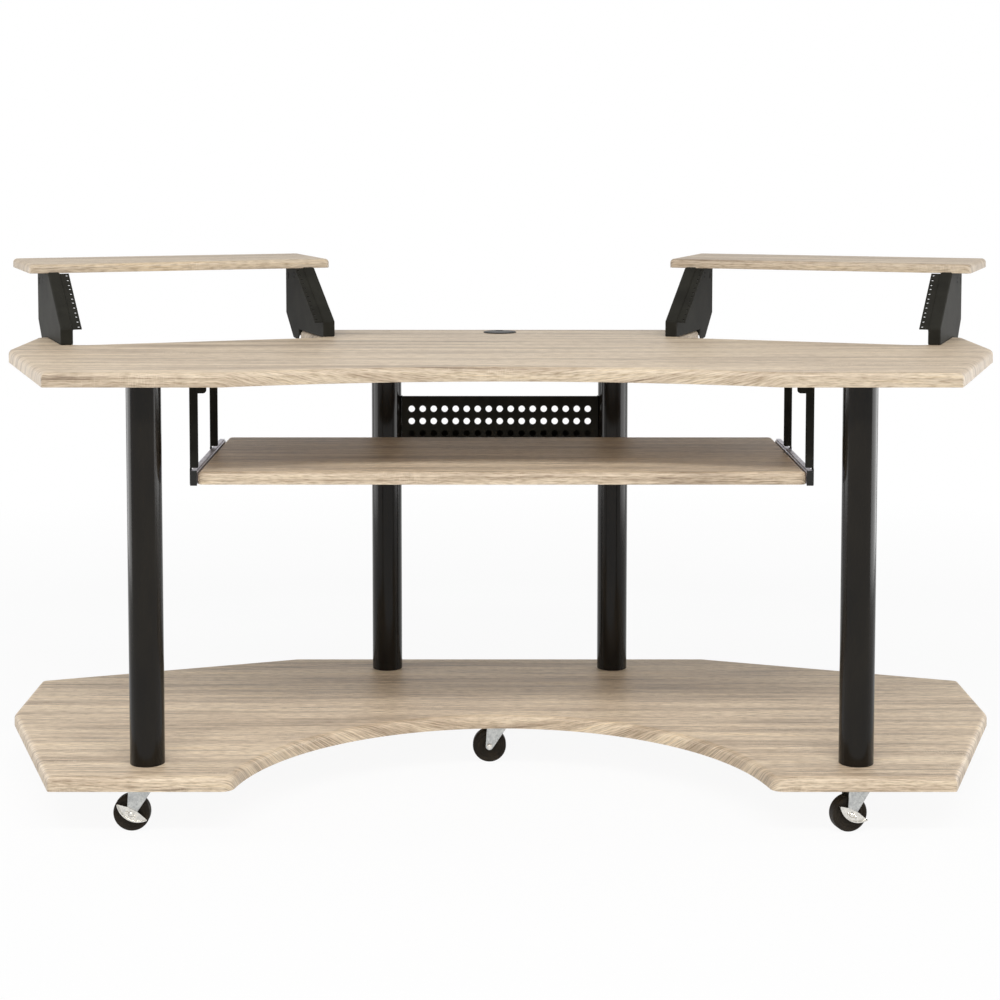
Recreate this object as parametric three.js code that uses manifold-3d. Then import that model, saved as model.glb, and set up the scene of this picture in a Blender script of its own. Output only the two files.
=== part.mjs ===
// A studio desk on casters: a winged desk top and a base panel held apart by four round posts,
// raised shelves over two slanted rack bays, a sliding keyboard tray and a perforated cable trough.
// Millimetres, +Z up. The user sits on the -Y side, and +X is to their right.

import * as THREE from 'three';
import { mergeVertices } from 'three/addons/utils/BufferGeometryUtils.js';
import Module from 'manifold-3d';

const wasm = await Module();
wasm.setup();

// Clearances, cuts and roundness, shared by all pieces
const seatGap = 0.3;
const runningGap = 0.5;
const cutOverrun = 5;
const cornerSegments = 2;
const edgeSegments = 2;
const scoopArcs = 10;
const postSides = 28;
const wheelSides = 24;
const smallSides = 12;
const holeSides = 8;

// Desk top and base panel. Distances back are measured from the front edge.
const panel = { thickness: 25, edgeRadius: 10, topCornerRadius: 3 };
const outline = { frontHalfWidth: 768, halfWidth: 914.5, rearHalfWidth: 420, sideFront: 412, sideRear: 657 };
const wingAngle = THREE.MathUtils.degToRad(20);
const deskScoop = { halfWidth: 470, depth: 91, cornerRadius: 60 };
const baseScoop = { halfWidth: 457, depth: 392, cornerRadius: 22 };

// Round posts, with the threaded plug that closes each end
const post = { length: 661, radius: 30, wall: 1.5, plugThickness: 6, threadRadius: 4 };
const frontPosts = { halfSpacing: 612, back: 87 };
const rearPosts = { halfSpacing: 229, back: 760 };

// Rack bays: a notch in each rear wing edge, and a stand on both sides of it
const bay = { clearWidth: 495, outerMargin: 41, seatDepth: 185.5, notchLead: 5, notchRadius: 35 };
const stand = { thickness: 20, wall: 2, footHeight: 30, depth: 288, heelHeight: 28 };
const rakeAngle = THREE.MathUtils.degToRad(32.889);
const standTail = { hookGap: 1.5, drop: 22, noseDrop: 12, noseLength: 6, length: 36, rise: 2 };
const standHoles = { radius: 2, forward: 66, down: 13, spacing: 8 };
const standSlot = { width: 5, height: 13, forward: 22, down: 21 };

// Rack rails along the slanted fronts: four units of three holes each
const rail = { flange: 18.5, sheet: 2, bend: 2, sideDepth: 14, recess: 0.5, start: 0.5, endGap: 0.33 };
const railHoles = { radius: 2.4, fromFreeEdge: 5 };
const rackUnit = { height: 44.45, firstHole: 6.35, holePitch: 15.875, holes: 3 };
const rackUnits = 4;
const railLength = rackUnits * rackUnit.height;

// Raised shelves
const shelf = { overhang: 36.5, depth: 248, thickness: 18, edgeRadius: 8, frontSetback: 6 };

// Keyboard tray, its slides and the hangers that carry them
const tray = { postClearance: 57, depth: 446, thickness: 22, front: 111, top: 608, edgeRadius: 8 };
const slide = { length: 400, height: 26, depth: 12, sheet: 1.5, front: 3 };
const hanger = { sheet: 2, width: 15, depth: 15, flangeLift: 3, tabReach: 30, tabHeight: 24, tabRadius: 6 };
const hangerBack = { front: 14, rear: 282 };

// Cable trough between the rear posts
const trough = { top: 664, bottom: 566, depth: 90, lip: 27, sheet: 1.5, returnDepth: 14 };
const perforation = { radius: 6.5, columns: 17, rows: 3, columnPitch: 22.25, rowPitch: 25, firstDrop: 26 };

// Cable grommet in the desk top
const grommet = { back: 766, flangeRadius: 33, flangeHeight: 2.2, sleeveRadius: 28.5, wall: 2.5, depth: 20 };
const grommetLedge = { width: 2.5, thickness: 2, drop: 5 };
const cableNotch = { width: 15, depth: 17 };

// Casters. The wheel trails its kingpin towards -X when the turn is zero.
const caster = { wheelClearance: 8, trail: 21 };
const wheel = { radius: 31.5, width: 22, hubRadius: 10, hubWidth: 25, shoulder: 4, dish: 2 };
const casterPlate = { length: 66, width: 52, thickness: 2.5, cornerRadius: 7 };
const plateScrew = { inset: 9, radius: 2.7 };
const raceway = { radius: 20, height: 3 };
const kingpin = { radius: 4.5, headRadius: 8, headHeight: 2 };
const crown = { radius: 24, height: 3, chamfer: 1 };
const fork = { sheet: 2.2, endRadius: 7.2, shoulder: 15, heel: 4.5 };
const axle = { radius: 3.5, headRadius: 5, headHeight: 2.5 };
const brake = { halfLength: 29, tipRise: 4, hubRise: 8.5, hubHalfWidth: 10, belly: 10, sheet: 2, lip: 6 };
const brakeBoss = { radius: 2.6, height: 2.2, offset: 7.2 };
const brakeTilt = THREE.MathUtils.degToRad(28);
const frontCasters = { halfSpacing: 612, back: 50 };
const rearCasters = { halfSpacing: 380, back: 760 };
const centreCasterBack = 459;
const turnedCaster = THREE.MathUtils.degToRad(15);

// Caster levels, down from the mounting face. The fork's crown clears the wheel.
const crownTop = -casterPlate.thickness - raceway.height - runningGap;
const crownBottom = crownTop - crown.height;
const axleDrop = caster.wheelClearance + wheel.radius - crownBottom;
const casterHeight = axleDrop + wheel.radius;

// The stand's slanted front carries the whole rail
const slantLength = rail.start + railLength + rail.endGap;
const standRake = slantLength * Math.cos(rakeAngle);
const standHeight = stand.footHeight + slantLength * Math.sin(rakeAngle);

// The shelf reaches over both stands, and the tray passes between the front posts
const shelfLength = bay.clearWidth + 2 * (stand.thickness + shelf.overhang);
const trayHalfWidth = frontPosts.halfSpacing - post.radius - tray.postClearance;

// Levels, from the floor up
const baseBottom = casterHeight + seatGap;
const postBottom = baseBottom + panel.thickness + seatGap;
const deskBottom = postBottom + post.length + seatGap;
const deskTop = deskBottom + panel.thickness;
const rearEdge = outline.sideRear + (outline.halfWidth - outline.rearHalfWidth) * Math.tan(wingAngle);

const wood = new THREE.MeshStandardMaterial({ color: 0xd6c2a4, roughness: 0.55, metalness: 0 });
const blackTube = new THREE.MeshStandardMaterial({ color: 0x2a2724, roughness: 0.35, metalness: 0.4 });
const blackSheet = new THREE.MeshStandardMaterial({ color: 0x33322e, roughness: 0.5, metalness: 0.3 });
const blackPlastic = new THREE.MeshStandardMaterial({ color: 0x1c1b1a, roughness: 0.45, metalness: 0 });
const zinc = new THREE.MeshStandardMaterial({ color: 0xb9bbbd, roughness: 0.35, metalness: 0.9 });
const brightSteel = new THREE.MeshStandardMaterial({ color: 0xd8d8d6, roughness: 0.2, metalness: 1 });
const tread = new THREE.MeshStandardMaterial({ color: 0x2b2824, roughness: 0.6, metalness: 0 });

// Solids

function solidOf(geometry) {
  const bare = geometry.clone();
  bare.deleteAttribute('normal');
  bare.deleteAttribute('uv');
  const merged = mergeVertices(bare);
  const vertProperties = merged.attributes.position.array;
  const triVerts = Uint32Array.from(merged.index.array);
  return new wasm.Manifold(new wasm.Mesh({ numProp: 3, vertProperties, triVerts }));
}

function geometryOf(solid) {
  const { vertProperties, triVerts } = solid.getMesh();
  const geometry = new THREE.BufferGeometry();
  geometry.setAttribute('position', new THREE.BufferAttribute(vertProperties, 3));
  geometry.setIndex(new THREE.BufferAttribute(triVerts, 1));
  geometry.computeVertexNormals();
  return geometry;
}

function joined(...geometries) {
  return geometryOf(geometries.map(solidOf).reduce((whole, solid) => whole.add(solid)));
}

function cut(geometry, ...cutters) {
  return geometryOf(cutters.map(solidOf).reduce((rest, cutter) => rest.subtract(cutter), solidOf(geometry)));
}

// A block between two opposite corners
function block(low, high) {
  const size = high.map((value, i) => value - low[i]);
  const middle = high.map((value, i) => (value + low[i]) / 2);
  return new THREE.BoxGeometry(...size).translate(...middle);
}

// Pins that start at from and end at to
function pinAlongZ(radius, from, to, sides) {
  return pinAlongY(radius, from, to, sides).rotateX(Math.PI / 2);
}

function pinAlongY(radius, from, to, sides) {
  return new THREE.CylinderGeometry(radius, radius, to - from, sides).translate(0, (from + to) / 2, 0);
}

// A pin along X, centred on the origin
function pinAlongX(radius, length, sides) {
  return new THREE.CylinderGeometry(radius, radius, length, sides).rotateZ(Math.PI / 2);
}

// A body turned about Z from a closed profile of [radius, height] points, listed counter-clockwise
function turned(profile, sides) {
  const points = [...profile, profile[0]].map(([radius, height]) => new THREE.Vector2(radius, height));
  return new THREE.LatheGeometry(points, sides).rotateX(Math.PI / 2);
}

function extruded(shape, depth) {
  return new THREE.ExtrudeGeometry(shape, { depth, bevelEnabled: false, curveSegments: cornerSegments });
}

// An outline drawn in (back, up), extruded across and centred on X = 0
function extrudedAcross(shape, width) {
  return extruded(shape, width).translate(0, 0, -width / 2).rotateX(Math.PI / 2).rotateZ(Math.PI / 2);
}

// An outline drawn in (across, up), extruded towards the back from Y = 0
function extrudedBack(shape, length) {
  return extruded(shape, length).rotateX(Math.PI / 2).translate(0, length, 0);
}

// Outlines

function polygon(points) {
  return new THREE.Shape(points.map(([x, y]) => new THREE.Vector2(x, y)));
}

function addRoundCorner(shape, before, corner, after) {
  const back = before.at.clone().sub(corner.at).normalize();
  const ahead = after.at.clone().sub(corner.at).normalize();
  const halfAngle = back.angleTo(ahead) / 2;
  const toCentre = back.clone().add(ahead).normalize();
  const centre = corner.at.clone().addScaledVector(toCentre, corner.radius / Math.sin(halfAngle));
  const setback = corner.radius / Math.tan(halfAngle);
  const start = corner.at.clone().addScaledVector(back, setback).sub(centre);
  const end = corner.at.clone().addScaledVector(ahead, setback).sub(centre);
  const isConcave = back.cross(ahead) > 0;
  shape.absarc(centre.x, centre.y, corner.radius, start.angle(), end.angle(), isConcave);
}

function corner(x, y, radius) {
  return { at: new THREE.Vector2(x, y), radius };
}

// A closed outline with round corners, listed counter-clockwise
function roundedOutline(corners) {
  const shape = new THREE.Shape();
  corners.forEach((here, i) => {
    addRoundCorner(shape, corners.at(i - 1), here, corners[(i + 1) % corners.length]);
  });
  shape.closePath();
  return shape;
}

function roundedRectangle(left, front, right, back, radius) {
  return roundedOutline([
    corner(left, front, radius),
    corner(right, front, radius),
    corner(right, back, radius),
    corner(left, back, radius),
  ]);
}

// A slab standing on Z = 0 whose top edges are rounded and whose underside is flat
function roundedSlab(shape, thickness, edgeRadius) {
  const slab = new THREE.ExtrudeGeometry(shape, {
    depth: thickness - edgeRadius,
    bevelThickness: edgeRadius,
    bevelSize: edgeRadius,
    bevelOffset: -edgeRadius,
    bevelSegments: edgeSegments,
    curveSegments: cornerSegments,
  });
  slab.computeBoundingBox();
  const { min, max } = slab.boundingBox;
  const below = block(
    [min.x - cutOverrun, min.y - cutOverrun, min.z - cutOverrun],
    [max.x + cutOverrun, max.y + cutOverrun, 0],
  );
  return cut(slab, below);
}

// Desk top and base panel

// The scooped front edge, from left to right, with a round corner where it leaves the straight edge
function addScoop(shape, scoop) {
  const radius = (scoop.halfWidth ** 2 + scoop.depth ** 2) / (2 * scoop.depth);
  const centreY = scoop.depth - radius;
  const lift = scoop.cornerRadius - centreY;
  const cornerX = Math.sqrt((radius + scoop.cornerRadius) ** 2 - lift ** 2);
  const slope = Math.atan2(lift, cornerX);
  const sweep = (Math.PI - 2 * slope) / scoopArcs;
  shape.absarc(-cornerX, scoop.cornerRadius, scoop.cornerRadius, -Math.PI / 2, -slope, false);
  for (let i = 0; i < scoopArcs; i += 1) {
    const from = Math.PI - slope - i * sweep;
    shape.absarc(0, centreY, radius, from, from - sweep, true);
  }
  shape.absarc(cornerX, scoop.cornerRadius, scoop.cornerRadius, Math.PI + slope, -Math.PI / 2, false);
  return cornerX;
}

// Place on the right wing: a distance from the wing corner along its rear edge, and one back from that edge
function onWing(along, back) {
  return [
    outline.halfWidth - along * Math.cos(wingAngle) + back * Math.sin(wingAngle),
    outline.sideRear + along * Math.sin(wingAngle) + back * Math.cos(wingAngle),
  ];
}

// The notch's corners, from the wing corner inwards. Its inner mouth meets the wing's rear edge,
// or the panel's straight rear edge where the notch runs past the wing.
function notchCorners(cornerRadius) {
  const outerWall = bay.outerMargin;
  const innerWall = outerWall + bay.clearWidth;
  const wingLength = (outline.halfWidth - outline.rearHalfWidth) / Math.cos(wingAngle);
  const bottom = -bay.seatDepth - bay.notchLead;
  const notch = [
    corner(...onWing(outerWall, 0), cornerRadius),
    corner(...onWing(outerWall, bottom), bay.notchRadius),
    corner(...onWing(innerWall, bottom), bay.notchRadius),
  ];
  if (innerWall + cornerRadius < wingLength) {
    return [...notch, corner(...onWing(innerWall, 0), cornerRadius), rearCorner(cornerRadius)];
  }
  const back = (rearEdge - outline.sideRear - innerWall * Math.sin(wingAngle)) / Math.cos(wingAngle);
  return [...notch, corner(...onWing(innerWall, back), cornerRadius)];
}

function rearCorner(cornerRadius) {
  return corner(outline.rearHalfWidth, rearEdge, cornerRadius);
}

function panelOutline(scoop, rearCorners, cornerRadius) {
  const right = [
    corner(outline.frontHalfWidth, 0, cornerRadius),
    corner(outline.halfWidth, outline.sideFront, cornerRadius),
    corner(outline.halfWidth, outline.sideRear, cornerRadius),
    ...rearCorners,
  ];
  const left = right.map(({ at, radius }) => corner(-at.x, at.y, radius)).reverse();
  const shape = new THREE.Shape();
  const straightFrom = addScoop(shape, scoop);
  const loop = [corner(straightFrom, 0, 0), ...right, ...left, corner(-straightFrom, 0, 0)];
  for (let i = 1; i < loop.length - 1; i += 1) addRoundCorner(shape, loop[i - 1], loop[i], loop[i + 1]);
  shape.closePath();
  return shape;
}

function deskTopGeometry() {
  const cornerRadius = panel.edgeRadius + panel.topCornerRadius;
  const shape = panelOutline(deskScoop, notchCorners(cornerRadius), cornerRadius);
  const slab = roundedSlab(shape, panel.thickness, panel.edgeRadius);
  const radius = grommet.sleeveRadius + runningGap;
  const hole = pinAlongZ(radius, -cutOverrun, panel.thickness + cutOverrun, postSides);
  return cut(slab, hole.translate(0, grommet.back, 0));
}

function basePanelGeometry() {
  const cornerRadius = panel.edgeRadius + panel.topCornerRadius;
  const shape = panelOutline(baseScoop, [rearCorner(cornerRadius)], cornerRadius);
  return roundedSlab(shape, panel.thickness, panel.edgeRadius);
}

// Posts

function postGeometry() {
  const bore = post.radius - post.wall;
  return turned([[bore, 0], [post.radius, 0], [post.radius, post.length], [bore, post.length]], postSides);
}

function postPlugGeometry() {
  const radius = post.radius - post.wall - seatGap;
  const { threadRadius: bore, plugThickness: top } = post;
  return turned([[bore, 0], [radius, 0], [radius, top], [bore, top]], smallSides);
}

// Stands

// A folded channel, open at the back, whose tail hooks down behind the panel's rear edge
function standGeometry() {
  const { thickness, wall, footHeight, depth, heelHeight } = stand;
  const [rake, height] = [standRake, standHeight];
  const hook = bay.seatDepth + standTail.hookGap;
  const nose = hook + standTail.noseLength;
  const profile = polygon([
    [0, 0], [hook, 0], [hook, -standTail.noseDrop], [nose, -standTail.drop],
    [nose + standTail.length, standTail.rise - standTail.drop], [depth, heelHeight],
    [depth, height], [rake, height], [0, footHeight],
  ]);
  const rise = height - footHeight;
  const slopeWall = wall * Math.hypot(rake, rise) / rise;
  const hollowFoot = footHeight - (slopeWall - wall) * rise / rake;
  const hollowRake = rake + slopeWall - wall * rake / rise;
  const below = -standTail.drop - cutOverrun;
  const behind = depth + cutOverrun;
  const hollow = polygon([
    [wall, wall], [hook + wall, wall], [hook + wall, below], [behind, below],
    [behind, height - wall], [hollowRake, height - wall], [wall, hollowFoot],
  ]);
  const shell = extrudedAcross(profile, thickness);
  const across = thickness + 2 * cutOverrun;
  const holes = [0, 1].map((i) => pinAlongX(standHoles.radius, across, holeSides)
    .translate(0, depth - standHoles.forward, height - standHoles.down - i * standHoles.spacing));
  const slotMiddle = [0, depth - standSlot.forward, height - standSlot.down];
  const slot = new THREE.BoxGeometry(across, standSlot.width, standSlot.height).translate(...slotMiddle);
  return cut(shell, extrudedAcross(hollow, thickness - 2 * wall), ...holes, slot);
}

// Rack rails

// An angle that stands on Z = 0. Its face is at Y = 0 and its free edge points to the hand's side of X.
function rackRailGeometry(hand) {
  const { flange, sheet, bend, sideDepth } = rail;
  const angle = polygon([
    [0, bend], [hand * bend, 0], [hand * flange, 0], [hand * flange, sheet],
    [hand * sheet, sheet], [hand * sheet, sideDepth], [0, sideDepth],
  ]);
  const across = hand * (flange - railHoles.fromFreeEdge);
  const holes = [];
  for (let unit = 0; unit < rackUnits; unit += 1) {
    for (let i = 0; i < rackUnit.holes; i += 1) {
      const up = unit * rackUnit.height + rackUnit.firstHole + i * rackUnit.holePitch;
      const hole = pinAlongY(railHoles.radius, -cutOverrun, sheet + cutOverrun, holeSides);
      holes.push(hole.translate(across, 0, up));
    }
  }
  return cut(extruded(angle, railLength), ...holes);
}

function shelfGeometry() {
  const cornerRadius = shelf.edgeRadius + panel.topCornerRadius;
  const shape = roundedRectangle(-shelfLength / 2, 0, shelfLength / 2, shelf.depth, cornerRadius);
  return roundedSlab(shape, shelf.thickness, shelf.edgeRadius);
}

// Keyboard tray

function trayGeometry() {
  const cornerRadius = tray.edgeRadius + panel.topCornerRadius;
  const shape = roundedRectangle(-trayHalfWidth, 0, trayHalfWidth, tray.depth, cornerRadius);
  return roundedSlab(shape, tray.thickness, tray.edgeRadius);
}

// A channel along Y whose open side points to the hand's side of X
function channelGeometry(depth, height, hand) {
  const { sheet, length } = slide;
  const reach = hand * depth;
  const back = hand * sheet;
  const section = polygon([
    [0, 0], [reach, 0], [reach, sheet], [back, sheet], [back, height - sheet],
    [reach, height - sheet], [reach, height], [0, height],
  ]);
  return extrudedBack(section, length);
}

// An angle leg with a tab at its top. Its outer face is at X = 0, and it reaches to the hand's side.
function hangerGeometry(hand, length) {
  const { sheet, width, depth, flangeLift, tabReach, tabHeight, tabRadius } = hanger;
  const flangeBottom = slide.height + flangeLift;
  const face = new THREE.Shape();
  face.moveTo(0, flangeBottom);
  face.lineTo(hand * width, flangeBottom);
  face.lineTo(hand * width, length - tabHeight);
  face.lineTo(hand * (tabReach - tabRadius), length - tabHeight);
  face.quadraticCurveTo(hand * tabReach, length - tabHeight, hand * tabReach, length - tabHeight + tabRadius);
  face.lineTo(hand * tabReach, length);
  face.lineTo(0, length);
  face.closePath();
  const span = (reach) => [Math.min(0, hand * reach), Math.max(0, hand * reach)];
  const [sideLow, sideHigh] = span(sheet);
  const [footLow, footHigh] = span(tabReach);
  const side = block([sideLow, 0, 0], [sideHigh, depth, length]);
  const foot = block([footLow, 0, length - sheet], [footHigh, depth, length]);
  return joined(extrudedBack(face, sheet), side, foot);
}

// Cable trough

function troughGeometry() {
  const { top, bottom, depth, lip, sheet, returnDepth } = trough;
  const height = top - bottom;
  const width = 2 * (rearPosts.halfSpacing - post.radius - seatGap);
  const section = polygon([
    [0, 0], [depth, 0], [depth, lip], [depth - sheet, lip], [depth - sheet, sheet],
    [sheet, sheet], [sheet, height], [0, height],
  ]);
  const ends = [-1, 1].map((side) => {
    const [low, high] = [side * width / 2, side * (width / 2 - sheet)].sort((a, b) => a - b);
    return block([low, 0, 0], [high, returnDepth, height]);
  });
  const holes = [];
  for (let row = 0; row < perforation.rows; row += 1) {
    for (let column = 0; column < perforation.columns; column += 1) {
      const across = (column - (perforation.columns - 1) / 2) * perforation.columnPitch;
      const up = height - perforation.firstDrop - row * perforation.rowPitch;
      const hole = pinAlongY(perforation.radius, -cutOverrun, sheet + cutOverrun, holeSides);
      holes.push(hole.translate(across, 0, up));
    }
  }
  return cut(joined(extrudedAcross(section, width), ...ends), ...holes);
}

// Cable grommet, drawn about Z with the desk's surface at Z = 0

function grommetLinerGeometry() {
  const { flangeRadius, flangeHeight, sleeveRadius, wall, depth } = grommet;
  const bore = sleeveRadius - wall;
  const ledgeTop = -grommetLedge.drop;
  const ledgeBore = bore - grommetLedge.width;
  const ledgeBottom = ledgeTop - grommetLedge.thickness;
  return turned([
    [bore, -depth], [sleeveRadius, -depth], [sleeveRadius, seatGap], [flangeRadius, seatGap],
    [flangeRadius, flangeHeight / 2], [flangeRadius - flangeHeight / 2, flangeHeight], [bore, flangeHeight],
    [bore, ledgeTop], [ledgeBore, ledgeTop], [ledgeBore, ledgeBottom], [bore, ledgeBottom],
  ], postSides);
}

function grommetCapGeometry() {
  const radius = grommet.sleeveRadius - grommet.wall - runningGap;
  const bottom = seatGap - grommetLedge.drop;
  const disc = new THREE.CylinderGeometry(radius, radius, grommet.flangeHeight - bottom, postSides)
    .rotateX(Math.PI / 2).translate(0, 0, (grommet.flangeHeight + bottom) / 2);
  const notch = block(
    [-cableNotch.width / 2, radius - cableNotch.depth, bottom - cutOverrun],
    [cableNotch.width / 2, radius + cutOverrun, grommet.flangeHeight + cutOverrun],
  );
  return cut(disc, notch);
}

// Casters, drawn with the kingpin on Z and the mounting face at Z = 0

const legInside = wheel.hubWidth / 2 + runningGap;
const legOutside = legInside + fork.sheet;

function casterPlateGeometry() {
  const { length, width, thickness, cornerRadius } = casterPlate;
  const shape = roundedRectangle(-length / 2, -width / 2, length / 2, width / 2, cornerRadius);
  for (const x of [plateScrew.inset - length / 2, length / 2 - plateScrew.inset]) {
    for (const y of [plateScrew.inset - width / 2, width / 2 - plateScrew.inset]) {
      shape.holes.push(new THREE.Path().absarc(x, y, plateScrew.radius, 0, 2 * Math.PI, true));
    }
  }
  const racewayBottom = -thickness - raceway.height;
  const headTop = crownBottom - runningGap;
  const pin = turned([
    [0, headTop - kingpin.headHeight], [kingpin.headRadius, headTop - kingpin.headHeight],
    [kingpin.headRadius, headTop], [kingpin.radius, headTop], [kingpin.radius, racewayBottom],
    [raceway.radius, racewayBottom], [raceway.radius, -thickness / 2], [0, -thickness / 2],
  ], smallSides);
  return joined(extruded(shape, thickness).translate(0, 0, -thickness), pin);
}

// Where a straight edge that starts across and up from the axle meets the fork's round end, as an angle
function meetingAngle(across, up, hand) {
  return Math.atan2(up, across) + hand * Math.acos(fork.endRadius / Math.hypot(across, up));
}

// One side of the fork: it narrows from the crown to a round end about the axle
function forkLegShape() {
  const { endRadius, shoulder, heel } = fork;
  const top = (crownTop + crownBottom) / 2;
  const trailingEnd = meetingAngle(-heel, top + axleDrop, 1);
  const leadingEnd = meetingAngle(shoulder + caster.trail, top + axleDrop, -1);
  const shape = new THREE.Shape();
  shape.moveTo(shoulder, top);
  shape.lineTo(-caster.trail - heel, top);
  shape.absarc(-caster.trail, -axleDrop, endRadius, trailingEnd, 2 * Math.PI + leadingEnd, false);
  shape.closePath();
  return shape;
}

function forkGeometry() {
  const { radius, chamfer } = crown;
  const { sheet } = fork;
  const bore = kingpin.radius + runningGap;
  const disc = turned([
    [bore, crownBottom], [radius, crownBottom], [radius, crownTop - chamfer],
    [radius - chamfer, crownTop], [bore, crownTop],
  ], wheelSides);
  const nearLeg = extrudedBack(forkLegShape(), sheet).translate(0, -legOutside, 0);
  const farLeg = extrudedBack(forkLegShape(), sheet).translate(0, legInside, 0);
  const reach = legOutside + cutOverrun;
  const axleHole = pinAlongY(axle.radius + seatGap, -reach, reach, smallSides);
  return cut(joined(disc, nearLeg, farLeg), axleHole.translate(-caster.trail, 0, -axleDrop));
}

// The near end stands out by nearReach more, to carry a brake lever
function axleGeometry(nearReach) {
  const far = legOutside + seatGap;
  const near = -far - nearReach;
  const { radius, headRadius, headHeight } = axle;
  const nearHeadRadius = nearReach > 0 ? brakeBoss.offset - brakeBoss.radius - seatGap : headRadius;
  const profile = [
    [0, near - headHeight], [nearHeadRadius, near - headHeight / 2], [nearHeadRadius, near], [radius, near],
    [radius, far], [headRadius, far], [headRadius, far + headHeight / 2], [0, far + headHeight],
  ];
  return turned(profile, smallSides).rotateX(-Math.PI / 2);
}

function wheelGeometry() {
  const { radius, width, hubRadius, hubWidth, shoulder, dish } = wheel;
  const bore = axle.radius + seatGap;
  const half = [
    [bore, hubWidth / 2], [hubRadius, hubWidth / 2], [hubRadius, width / 2 - dish],
    [radius - shoulder, width / 2], [radius, width / 2 - shoulder],
  ];
  const mirrored = half.map(([r, y]) => [r, -y]);
  return turned([...mirrored, ...half.reverse()], wheelSides).rotateX(-Math.PI / 2);
}

// A two-winged toe lever with a turned lip along its belly, drawn about its pivot
function brakeLeverGeometry() {
  const { halfLength, tipRise, hubRise, hubHalfWidth, belly, sheet, lip } = brake;
  const sag = tipRise + belly;
  const radius = (halfLength ** 2 + sag ** 2) / (2 * sag);
  const centreUp = radius - belly;
  const tipAngle = Math.atan2(tipRise - centreUp, halfLength);
  const innerRadius = radius - sheet;
  const plate = new THREE.Shape();
  plate.absarc(0, centreUp, radius, Math.PI - tipAngle, tipAngle, false);
  plate.lineTo(hubHalfWidth, hubRise);
  plate.lineTo(-hubHalfWidth, hubRise);
  plate.closePath();
  const rim = new THREE.Shape();
  rim.absarc(0, centreUp, radius, Math.PI - tipAngle, tipAngle, false);
  rim.absarc(0, centreUp, innerRadius, tipAngle, Math.PI - tipAngle, true);
  rim.closePath();
  const bosses = [-1, 1].map((side) => pinAlongY(brakeBoss.radius, -sheet - brakeBoss.height, 0, smallSides)
    .translate(side * brakeBoss.offset, 0, 0));
  const lever = joined(
    extrudedBack(plate, sheet).translate(0, -sheet, 0),
    extrudedBack(rim, lip).translate(0, -lip, 0),
    ...bosses,
  );
  return cut(lever, pinAlongY(axle.radius + seatGap, -lip - cutOverrun, cutOverrun, smallSides));
}

// Assembly

const desk = new THREE.Group();

function place(name, geometry, material, parent, x = 0, y = 0, z = 0) {
  const mesh = new THREE.Mesh(geometry, material);
  mesh.name = name;
  mesh.position.set(x, y, z);
  parent.add(mesh);
  return mesh;
}

const sides = { left: -1, right: 1 };

place('desk_top', deskTopGeometry(), wood, desk, 0, 0, deskBottom);
place('base_panel', basePanelGeometry(), wood, desk, 0, 0, baseBottom);

for (const [row, posts] of Object.entries({ front: frontPosts, rear: rearPosts })) {
  for (const [sideName, side] of Object.entries(sides)) {
    const x = side * posts.halfSpacing;
    const plugTop = postBottom + post.length - post.plugThickness;
    place(`post_${row}_${sideName}`, postGeometry(), blackTube, desk, x, posts.back, postBottom);
    place(`post_plug_${row}_${sideName}_bottom`, postPlugGeometry(), zinc, desk, x, posts.back, postBottom);
    place(`post_plug_${row}_${sideName}_top`, postPlugGeometry(), zinc, desk, x, posts.back, plugTop);
  }
}

// A wing's own frame: X along its rear edge, Y back, its origin between the stands at their front
function addWing(sideName, side) {
  const wing = new THREE.Group();
  const [x, y] = onWing(bay.outerMargin + bay.clearWidth / 2, -bay.seatDepth);
  wing.position.set(side * x, y, deskTop + seatGap);
  wing.rotation.z = -side * wingAngle;
  desk.add(wing);

  const railBack = rail.start * Math.cos(rakeAngle) + rail.recess * Math.sin(rakeAngle);
  const railUp = stand.footHeight + rail.start * Math.sin(rakeAngle) - rail.recess * Math.cos(rakeAngle);
  for (const [end, hand] of [['outer', side], ['inner', -side]]) {
    const wall = hand * bay.clearWidth / 2;
    const middle = wall + hand * stand.thickness / 2;
    place(`stand_${sideName}_${end}`, standGeometry(), blackSheet, wing, middle);
    const railMesh = place(`rack_rail_${sideName}_${end}`, rackRailGeometry(-hand), blackSheet, wing,
      wall - hand * seatGap, railBack, railUp);
    railMesh.rotation.x = rakeAngle - Math.PI / 2;
  }
  const shelfFront = standRake + shelf.frontSetback;
  place(`shelf_${sideName}`, shelfGeometry(), wood, wing, 0, shelfFront, standHeight + seatGap);
}

function addTraySide(sideName, side) {
  const middle = tray.top - tray.thickness / 2;
  const slideBottom = middle - slide.height / 2;
  const slideFront = tray.front + slide.front;
  const innerFace = trayHalfWidth + seatGap;
  const outerFace = innerFace + slide.depth;
  const innerHeight = slide.height - 2 * (slide.sheet + runningGap);
  const innerBottom = slideBottom + slide.sheet + runningGap;
  const channelDepth = slide.depth - slide.sheet - runningGap;
  place(`slide_outer_${sideName}`, channelGeometry(channelDepth, slide.height, -side), blackSheet, desk,
    side * outerFace, slideFront, slideBottom);
  place(`slide_inner_${sideName}`, channelGeometry(channelDepth, innerHeight, side), zinc, desk,
    side * innerFace, slideFront, innerBottom);
  const hangerFace = outerFace + seatGap + hanger.sheet;
  const hangerLength = deskBottom - seatGap - slideBottom;
  for (const [row, back] of Object.entries(hangerBack)) {
    place(`hanger_${sideName}_${row}`, hangerGeometry(-side, hangerLength), blackSheet, desk,
      side * hangerFace, tray.front + back, slideBottom);
  }
}

for (const [sideName, side] of Object.entries(sides)) {
  addWing(sideName, side);
  addTraySide(sideName, side);
}
place('keyboard_tray', trayGeometry(), wood, desk, 0, tray.front, tray.top - tray.thickness);

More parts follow.
